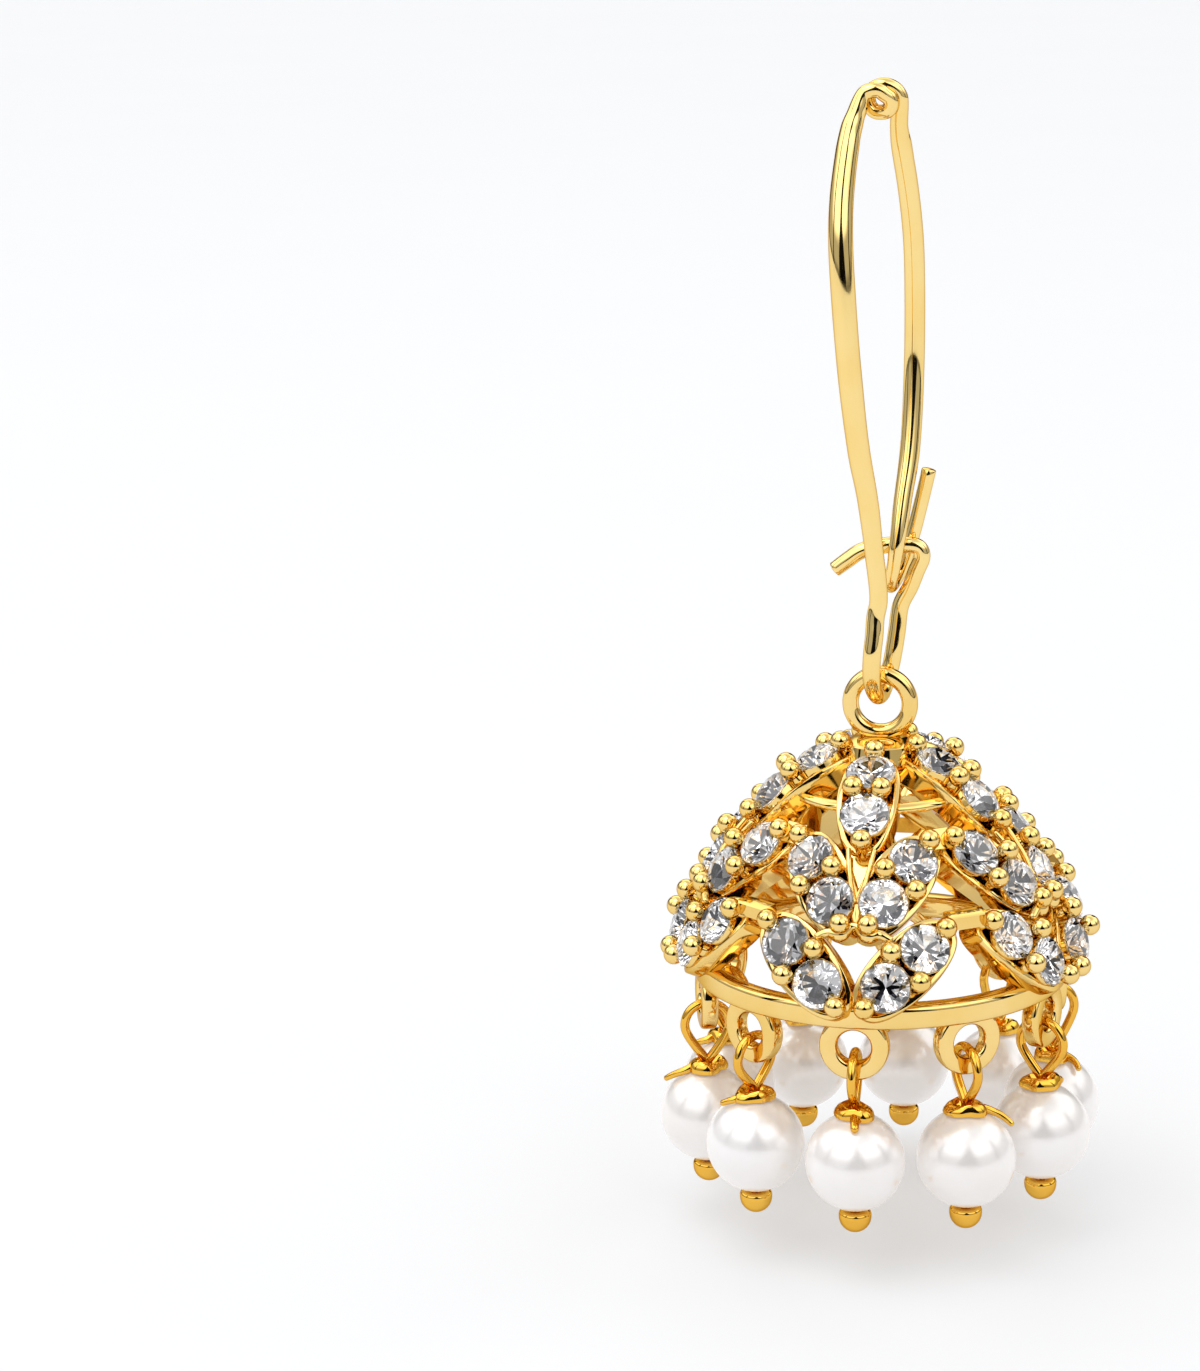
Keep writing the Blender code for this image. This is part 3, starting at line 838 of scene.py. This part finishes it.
def add_link(build, turn, high, low, wide_high, wide_low, depth, round_by):
    # A plate that leans with the dome, from high to low along one radius
    out = sector_point(1.0, turn, 0.0)
    across = Vector((0.0, 0.0, 1.0)).cross(out)
    top = sector_point(high[0], turn, RIM_Z + BELL_HEIGHT * high[1])
    foot = sector_point(low[0], turn, RIM_Z + BELL_HEIGHT * low[1])
    normal = (top - foot).cross(across).normalized()
    if normal.dot(out) < 0.0:
        normal = -normal
    corners = [
        top + across * wide_high * 0.5, top - across * wide_high * 0.5,
        foot - across * wide_low * 0.5, foot + across * wide_low * 0.5,
    ]
    add_plate(build, corners, normal, depth, round_by)


def add_saddle(build, here):
    # Two thin strips under the crown navette, and the lobed bridge under each pair of middle navettes
    def spot(row, hand):
        return sector_point(row["radius"], here + row["turn"] * hand, RIM_Z + BELL_HEIGHT * row["rise"])

    for hand in (-1.0, 1.0):
        strip = [(spot(row, hand), STRIP_WIRE) for row in STRIP]
        tube(build, smooth_path(strip, steps=6), sides=12)
    left = [(spot(row, -1.0), row["thick"]) for row in reversed(BRIDGE_SIDE)]
    middle = [(spot(BRIDGE_MIDDLE, 1.0), BRIDGE_MIDDLE["thick"])]
    right = [(spot(row, 1.0), row["thick"]) for row in BRIDGE_SIDE]
    tube(build, smooth_path(left + middle + right, steps=8), sides=16)


# Pieces

def ear_wire_path():
    # Rows are x, y, z and the wire's radius. The foot comes first, then front leg, coil and back leg.
    front = [
        (-0.14, -1.50, -21.75, 0.37), (-0.10, -1.66, -20.95, 0.37), (-0.03, -1.50, -20.10, 0.37),
        (0.00, -1.32, -19.35, 0.37), (0.12, -1.30, -18.70, 0.37), (-0.03, -1.55, -16.57, 0.385),
        (-0.23, -1.85, -14.48, 0.42), (-0.52, -2.30, -12.42, 0.45), (-0.83, -2.66, -9.18, 0.48),
        (-1.06, -2.72, -6.02, 0.49), (-1.18, -2.50, -4.10, 0.49), (-1.22, -1.95, -2.60, 0.48),
        (-1.12, -1.25, -0.90, 0.46), (-1.00, -0.85, 0.03, 0.43), (-0.80, -0.62, 0.70, 0.37),
    ]
    back = [
        (0.65, 0.80, 0.05, 0.36), (0.72, 1.10, -0.85, 0.42), (0.90, 1.75, -2.60, 0.42),
        (1.01, 2.45, -4.66, 0.42), (1.03, 2.75, -6.90, 0.42), (1.01, 2.70, -9.93, 0.42),
        (0.96, 1.85, -13.08, 0.41), (0.78, 1.00, -15.03, 0.37), (0.65, 0.40, -16.57, 0.32),
        (0.50, 0.34, -17.65, 0.29), (0.34, 0.55, -18.30, 0.28), (0.30, 1.12, -18.60, 0.28),
        (0.50, 1.75, -18.25, 0.30), (0.76, 1.96, -17.60, 0.30), (1.04, 2.02, -16.70, 0.30),
        (1.39, 2.08, -15.30, 0.30), (1.70, 2.12, -13.96, 0.30),
    ]
    foot = [
        (-1.95, 0.72, -17.88, 0.32), (-1.42, 0.78, -17.48, 0.33), (-0.90, 0.86, -17.13, 0.33),
        (0.08, 1.04, -16.90, 0.33), (0.84, 1.14, -16.88, 0.33), (1.40, 1.20, -16.98, 0.33),
        (1.55, 1.22, -17.34, 0.34), (1.30, 1.22, -18.00, 0.35), (1.07, 1.22, -18.62, 0.34),
        (0.67, 1.28, -19.42, 0.35), (0.53, 1.12, -20.50, 0.36), (0.43, 0.97, -21.25, 0.36),
        (0.31, 0.90, -21.90, 0.36), (0.18, 0.80, -22.38, 0.355), (0.06, 0.50, -22.80, 0.35),
        (0.02, 0.0, -22.90, 0.35), (-0.04, -0.55, -22.80, 0.35), (-0.12, -1.08, -22.36, 0.36),
    ]
    coil = []
    for i in range(COIL_STEPS + 1):
        share = i / COIL_STEPS
        angle = math.radians(COIL_START - COIL_SWEEP * share)
        # The wire comes in wide, turns tight and then opens to its outer turn
        if share < COIL_TIGHT_FROM:
            radius = COIL_ENTRY + (COIL_INNER - COIL_ENTRY) * share / COIL_TIGHT_FROM
        elif share < COIL_TIGHT_TO:
            radius = COIL_INNER
        elif share < COIL_WIDE_FROM:
            opened = (share - COIL_TIGHT_TO) / (COIL_WIDE_FROM - COIL_TIGHT_TO)
            radius = COIL_INNER + (COIL_OUTER - COIL_INNER) * opened
        else:
            radius = COIL_OUTER
        y = COIL_PITCH * COIL_DEPTH * (share - 0.5)
        coil.append((COIL_SHIFT + radius * math.cos(angle), y, COIL_Z + radius * math.sin(angle), COIL_WIRE))
    return [(Vector((x, y, z)), r) for x, y, z, r in foot + front + coil + back]


def make_ear_wire(gold):
    build = Build()
    tube(build, smooth_path(ear_wire_path(), steps=6), sides=24, dome=0.25)
    wire = build.make("ear_wire_drawn", [gold], smooth=50.0)
    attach(wire, "ear_wire")
    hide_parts("ear_wire")


def fill_settings(trays, prongs, stones, rng):
    # Each navette: its tray, four claws and two stones on their seats
    for kind, sector, mirror in settings():
        frame, half_length, half_waist, bulge = setting_frame(kind, sector, mirror)
        add_tray(trays, frame, half_length, bulge)
        for u, v in ((half_length, 0.0), (-half_length, 0.0), (0.0, half_waist), (0.0, -half_waist)):
            add_prong(prongs, frame, u, v, lift(u, half_length, bulge) + PRONG_RISE)
        for spot in stone_frames(kind, sector, mirror):
            add_collar(trays, spot)
            add_stone(stones, spot, rng.uniform(0.0, 2 * math.pi / STONE_FACETS), rng)


def add_gallery(build):
    # A thin ring with a section that slopes as the dome does
    ring = Matrix.Translation((0.0, 0.0, RIM_Z + BELL_HEIGHT * GALLERY_RISE))
    flat = soft_section(GALLERY_INNER, GALLERY_OUTER, GALLERY_LOW, GALLERY_HIGH, power=2.6, count=24)
    hoop(build, ring, [(r, h - GALLERY_SLOPE * (r - GALLERY_PIVOT)) for r, h in flat], sides=96)


def add_crown(build):
    # A turned collar and the bail ring that stands on it
    cap = Matrix.Translation((0.0, 0.0, BAIL_Z))
    top = -BAIL_OUTER + CROWN_SEAT
    revolve(build, cap, [
        (0.0, CROWN_FOOT), (CROWN_RADIUS * 0.8, CROWN_FOOT), (CROWN_RADIUS * 1.15, CROWN_SHOULDER),
        (CROWN_RADIUS * 1.05, top - 0.3), (CROWN_RADIUS * 0.8, top - 0.08), (CROWN_RADIUS * 0.5, top),
        (0.0, top + 0.02),
    ], sides=48)
    bail = basis(Vector((0.0, 0.0, BAIL_Z)), Vector((1.0, 0.0, 0.0)), Vector((0.0, 0.0, -1.0)),
                 Vector((0.0, 1.0, 0.0)))
    half = BAIL_THICKNESS / 2
    section = rounded_section(BAIL_HOLE, BAIL_OUTER, -half, half, BAIL_ROUND, steps=6)
    hoop(build, bail, section, sides=96)


def add_lug(build, turn):
    # A round eye under the rim, facing out
    out = sector_point(1.0, turn, 0.0)
    up = Vector((0.0, 0.0, 1.0))
    spot = basis(sector_point(LUG_RING, turn, LUG_Z), up.cross(out), up, out)
    half = LUG_THICKNESS / 2
    hoop(build, spot, soft_section(LUG_HOLE, LUG_OUTER, -half, half, power=4.0, count=36), sides=64)


def make_bell(gold, stone_looks):
    trays = Build()
    prongs = Build()
    stones = Build()
    fill_settings(trays, prongs, stones, random.Random(STONE_SEED))
    body = Build()
    rim = soft_section(RIM_RADIUS - RIM_WALL, RIM_RADIUS, 0.0, RIM_HEIGHT, power=4.0, count=40)
    hoop(body, Matrix.Translation((0.0, 0.0, RIM_Z)), rim, sides=160)
    for sector in range(SECTORS):
        here = sector * 360.0 / SECTORS
        edge = (sector + 0.5) * 360.0 / SECTORS
        for row in EDGE_LINKS:
            add_link(body, edge, **row)
        add_link(body, here, **MIDDLE_WEB)
        add_saddle(body, here)
    add_gallery(body)
    add_crown(body)
    for k in range(LUGS):
        add_lug(body, k * 360.0 / LUGS)
    pieces = [
        body.make("bell_casting", [gold], smooth=35.0),
        trays.make("bell_navette_trays", [gold], smooth=35.0),
        prongs.make("bell_claws", [gold], smooth=50.0),
        stones.make("bell_stones", stone_looks, smooth=None),
    ]
    for piece in pieces:
        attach(piece, "jhumka")
        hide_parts("bell")


def add_cap(build, centre, rng):
    # The wrapped end of the wire, pressed into an uneven cap that hugs the top of the pearl
    phase = [rng.uniform(0.0, 2 * math.pi) for _ in CAP_WAVES]
    seat = PEARL_RADIUS + PEARL_GAP
    sides = 48
    rings = []
    for share, rise in CAP_PROFILE:
        edge = max(0.0, share - CAP_EVEN) / (1.0 - CAP_EVEN)
        ring = []
        for k in range(sides):
            a = 2 * math.pi * k / sides
            wobble = sum(wave["size"] * math.sin(wave["lobes"] * a + start)
                         for wave, start in zip(CAP_WAVES, phase))
            r = CAP_RADIUS * share * (1.0 + wobble * edge)
            skin = math.sqrt(seat ** 2 - r * r) + CAP_SKIN
            swell = 1.0 + CAP_SWELL * math.sin(2 * a + phase[1]) * edge
            height = skin
            if rise is not None:
                height = max(skin, seat + rise * (swell if rise > 0.0 else 1.0))
            ring.append(centre + Vector((r * math.cos(a), r * math.sin(a), height)))
        rings.append(ring)
    build.rings(list(reversed(rings)), cap_start=False, cap_end=True)


def add_tail(build, centre, row):
    # The loose end of the wrap, lying over the pearl's shoulder
    lead = sector_point(1.0, row["turn"], 0.0)
    up = Vector((0.0, 0.0, 1.0))
    side = up.cross(lead)
    long = row["length"] > LONG_TAIL
    tip = LONG_TAIL_TIP if long else TAIL_TIP
    path = []
    steps = 8
    for i in range(steps + 1):
        share = i / steps
        reach = TAIL_ROOT + (CAP_RADIUS * 0.92 + row["length"] - TAIL_ROOT) * share
        lie = reach / PEARL_RADIUS
        r = PEARL_RADIUS + PEARL_GAP + TAIL_GAP + row["stand"] * max(0.0, share - TAIL_LIES)
        bend = LONG_TAIL_BEND * math.sin(share * math.pi) if long else 0.0
        place = centre + lead * (r * math.sin(lie)) + up * (r * math.cos(lie)) + side * bend
        path.append((place, TAIL_WIRE * (1.0 - share) + tip * share))
    tube(build, smooth_path(path, steps=2), sides=14, dome=0.8)


def add_eye(build, hub, foot, out):
    # Drop-shaped eye that runs down into the wrapped cap
    up = Vector((0.0, 0.0, 1.0))
    eye = []
    for i in range(8):
        a = math.radians(-15.0 + 30.0 * i)
        eye.append((hub + out * (LOOP_RADIUS * math.cos(a)) + up * (LOOP_RADIUS * math.sin(a)), LOOP_WIRE))
    for lean in (-1.0, 0.0, 1.0):
        eye.append((foot + out * (EYE_FOOT * lean) + up * (EYE_FOOT * abs(lean)), LOOP_WIRE))
    tube(build, smooth_path(eye, closed=True, steps=6), sides=16, closed=True)


def add_head(build, stand):
    # Round head under the pearl
    under = -PEARL_RADIUS - PEARL_GAP
    profile = [(0.0, under - HEAD_HEIGHT)]
    bands = 9
    for k in range(1, bands + 1):
        a = math.pi / 2 * k / bands
        profile.append((HEAD_RADIUS * math.sin(a), under - HEAD_HEIGHT * (0.30 + 0.70 * math.cos(a))))
    profile.extend([
        (HEAD_RADIUS, under - 0.16), (HEAD_RADIUS * 0.95, under - 0.06), (HEAD_RADIUS * 0.80, under - 0.01),
        (0.24, under), (0.0, under + 0.01),
    ])
    revolve(build, stand, profile, sides=32)


def make_pin(name, centre, out, gold, rng):
    up = Vector((0.0, 0.0, 1.0))
    stand = basis(centre, out, up.cross(out), up)
    top = PEARL_RADIUS + PEARL_GAP + CAP_HEIGHT
    wire = Build()
    add_eye(wire, out * LUG_RING + up * LOOP_Z, centre + up * (top - 0.08), out)
    shaft = [
        (centre + up * top, SHAFT_RADIUS - 0.01), (centre + up * PEARL_RADIUS, SHAFT_RADIUS),
        (centre, SHAFT_RADIUS), (centre - up * (PEARL_RADIUS + 0.3), SHAFT_RADIUS),
    ]
    tube(wire, shaft, sides=16)
    add_cap(wire, centre, rng)
    add_tail(wire, centre, TAILS[name])
    add_head(wire, stand)
    pin = wire.make("pin_" + name + "_wire", [gold], smooth=45.0)
    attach(pin, "jhumka")
    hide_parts("pin_" + name)


def make_pearl(name, centre, out, nacre, rng):
    # A bored bead, a trace uneven as nacre is
    up = Vector((0.0, 0.0, 1.0))
    stand = basis(centre, out, up.cross(out), up)
    bead = Build()
    begin = math.asin(BORE_RADIUS / PEARL_RADIUS)
    section = []
    bands = 40
    for i in range(bands + 1):
        a = begin + (math.pi - 2 * begin) * i / bands
        section.append((PEARL_RADIUS * math.sin(a), -PEARL_RADIUS * math.cos(a)))
    hoop(bead, stand, section, sides=64)
    seed = Vector((rng.uniform(0, 50), rng.uniform(0, 50), rng.uniform(0, 50)))
    for i, p in enumerate(bead.points):
        away = p - centre
        bead.points[i] = centre + away * (1.0 + PEARL_UNEVEN * (noise.noise(away * 0.5 + seed) - 0.3))
    pearl = bead.make("pearl_" + name + "_bead", [nacre], smooth=60.0)
    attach(pearl, "jhumka")
    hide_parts("pearl_" + name)


def make_drops(gold, nacre):
    # One pin and one pearl under each lug, from the front round by the right
    rng = random.Random(DROP_SEED)
    for k, (name, drop) in enumerate(PEARL_DROP.items()):
        turn = k * 360.0 / LUGS
        out = sector_point(1.0, turn, 0.0)
        centre = sector_point(LUG_RING, turn, PEARL_RING_Z - drop)
        make_pin(name, centre, out, gold, rng)
        make_pearl(name, centre, out, nacre, rng)


def make_stage():
    build = Build()
    corners = [(-1, -1), (1, -1), (1, 1), (-1, 1)]
    build.add([Vector((x * FLOOR_REACH, y * FLOOR_REACH, FLOOR_Z)) for x, y in corners], [(0, 1, 2, 3)])
    floor = build.make("floor", [floor_material()])


def make_lamp():
    data = bpy.data.lights.new("overhead", "AREA")
    data.shape = "RECTANGLE"
    data.size = LAMP_WIDTH
    data.size_y = LAMP_LENGTH
    data.energy = LAMP_POWER
    lamp = bpy.data.objects.new("overhead", data)
    bpy.context.scene.collection.objects.link(lamp)
    lamp.location = Vector(LAMP_PLACE)
    lamp.rotation_euler = (Vector(LAMP_AIM) - Vector(LAMP_PLACE)).to_track_quat("-Z", "Y").to_euler()


def make_world():
    # A light tent: bright above and around, with a dark opening in front
    world = bpy.data.worlds.new("studio_tent")
    bpy.context.scene.world = world
    world.use_nodes = True
    nodes = world.node_tree.nodes
    links = world.node_tree.links
    ground = nodes["Background"]
    coords = nodes.new("ShaderNodeTexCoord")
    split = nodes.new("ShaderNodeSeparateXYZ")
    links.new(coords.outputs["Generated"], split.inputs["Vector"])

    def math_node(operation, a, b=None):
        node = nodes.new("ShaderNodeMath")
        node.operation = operation
        for slot, value in ((0, a), (1, b)):
            if value is None:
                continue
            if isinstance(value, (int, float)):
                node.inputs[slot].default_value = value
            else:
                links.new(value, node.inputs[slot])
        return node.outputs[0]

    def smooth(value, low, high):
        node = nodes.new("ShaderNodeMapRange")
        node.interpolation_type = "SMOOTHSTEP"
        links.new(value, node.inputs["Value"])
        node.inputs["From Min"].default_value = low
        node.inputs["From Max"].default_value = high
        node.inputs["To Min"].default_value = 0.0
        node.inputs["To Max"].default_value = 1.0
        return node.outputs["Result"]

    azimuth = math_node("ARCTAN2", split.outputs["X"], math_node("MULTIPLY", split.outputs["Y"], -1.0))
    height = split.outputs["Z"]
    # Dark opening, from the floor up, narrower with height
    off = math_node("ABSOLUTE", math_node("SUBTRACT", azimuth, math.radians(OPENING_TURN)))
    reach = math_node("SUBTRACT", OPENING_REACH, math_node("MULTIPLY", height, OPENING_TAPER))
    side_mask = smooth(math_node("SUBTRACT", reach, off), 0.0, EDGE_SOFTNESS)
    low_mask = smooth(height, -0.02, 0.01)
    opening = math_node("MULTIPLY", side_mask, low_mask)
    # Dark gaps between the wall panels
    dark = opening
    for row in WALL_GAPS:
        away = math_node("ABSOLUTE", math_node("SUBTRACT", azimuth, math.radians(row["turn"])))
        mask = smooth(math_node("SUBTRACT", math.radians(row["half_width"]), away), 0.0, EDGE_SOFTNESS)
        mask = math_node("MULTIPLY", mask, smooth(math_node("SUBTRACT", WALL_TOP, height), 0.0, 0.1))
        dark = math_node("MAXIMUM", dark, mask)
    # Dim line where the tent meets the floor, then the walls, a bright ring of light above and a dimmer roof
    line = smooth(height, 0.0, WALL_FOOT)
    walls = math_node("ADD", WALL_LOW_LIGHT, math_node("MULTIPLY", line, WALL_LIGHT))
    band = math_node("MULTIPLY", smooth(height, BAND_LOW, BAND_HIGH), BAND_LIGHT)
    roof = math_node("MULTIPLY", smooth(height, WALL_TOP, ROOF_TOP), ROOF_DIP)
    glow = math_node("SUBTRACT", math_node("ADD", walls, band), roof)
    level = math_node("MULTIPLY", glow, math_node("SUBTRACT", 1.0, math_node("MULTIPLY", dark, DARKNESS)))
    path = nodes.new("ShaderNodeLightPath")
    seen = nodes.new("ShaderNodeMix")
    seen.data_type = "FLOAT"
    links.new(path.outputs["Is Camera Ray"], seen.inputs["Factor"])
    links.new(level, seen.inputs["A"])
    seen.inputs["B"].default_value = BACKDROP_LIGHT
    links.new(seen.outputs["Result"], ground.inputs["Strength"])
    ground.inputs["Color"].default_value = (1.0, 1.0, 1.0, 1.0)


def make_camera():
    data = bpy.data.cameras.new("camera")
    data.sensor_fit = "HORIZONTAL"
    data.sensor_width = 36.0
    data.lens = CAMERA_LENS
    data.clip_start = 0.005
    data.clip_end = 20.0
    camera = bpy.data.objects.new("camera", data)
    bpy.context.scene.collection.objects.link(camera)
    # Level with the horizon and looking along +Y, then turned, tilted and rolled about its own line of sight
    turn = Matrix.Rotation(math.radians(CAMERA_TURN), 4, "Z")
    tilt = Matrix.Rotation(math.radians(90.0 + CAMERA_TILT), 4, "X")
    roll = Matrix.Rotation(math.radians(CAMERA_ROLL), 4, "Z")
    camera.matrix_world = Matrix.Translation(Vector(CAMERA_PLACE) * MM) @ turn @ tilt @ roll
    bpy.context.scene.camera = camera


def main():
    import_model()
    nacre = pearl_material()
    stone_looks = [stone_material()] + [painted_facet_material(name) for name in FACETS]
    make_ear_wire(gold_material("pale_gold_wire"))
    make_bell(gold_material("pale_gold_casting"), stone_looks)
    make_drops(gold_material("deep_gold_pins"), nacre)
    make_stage()
    make_world()
    make_lamp()
    make_camera()
    bpy.context.scene.view_settings.view_transform = "Standard"


main()
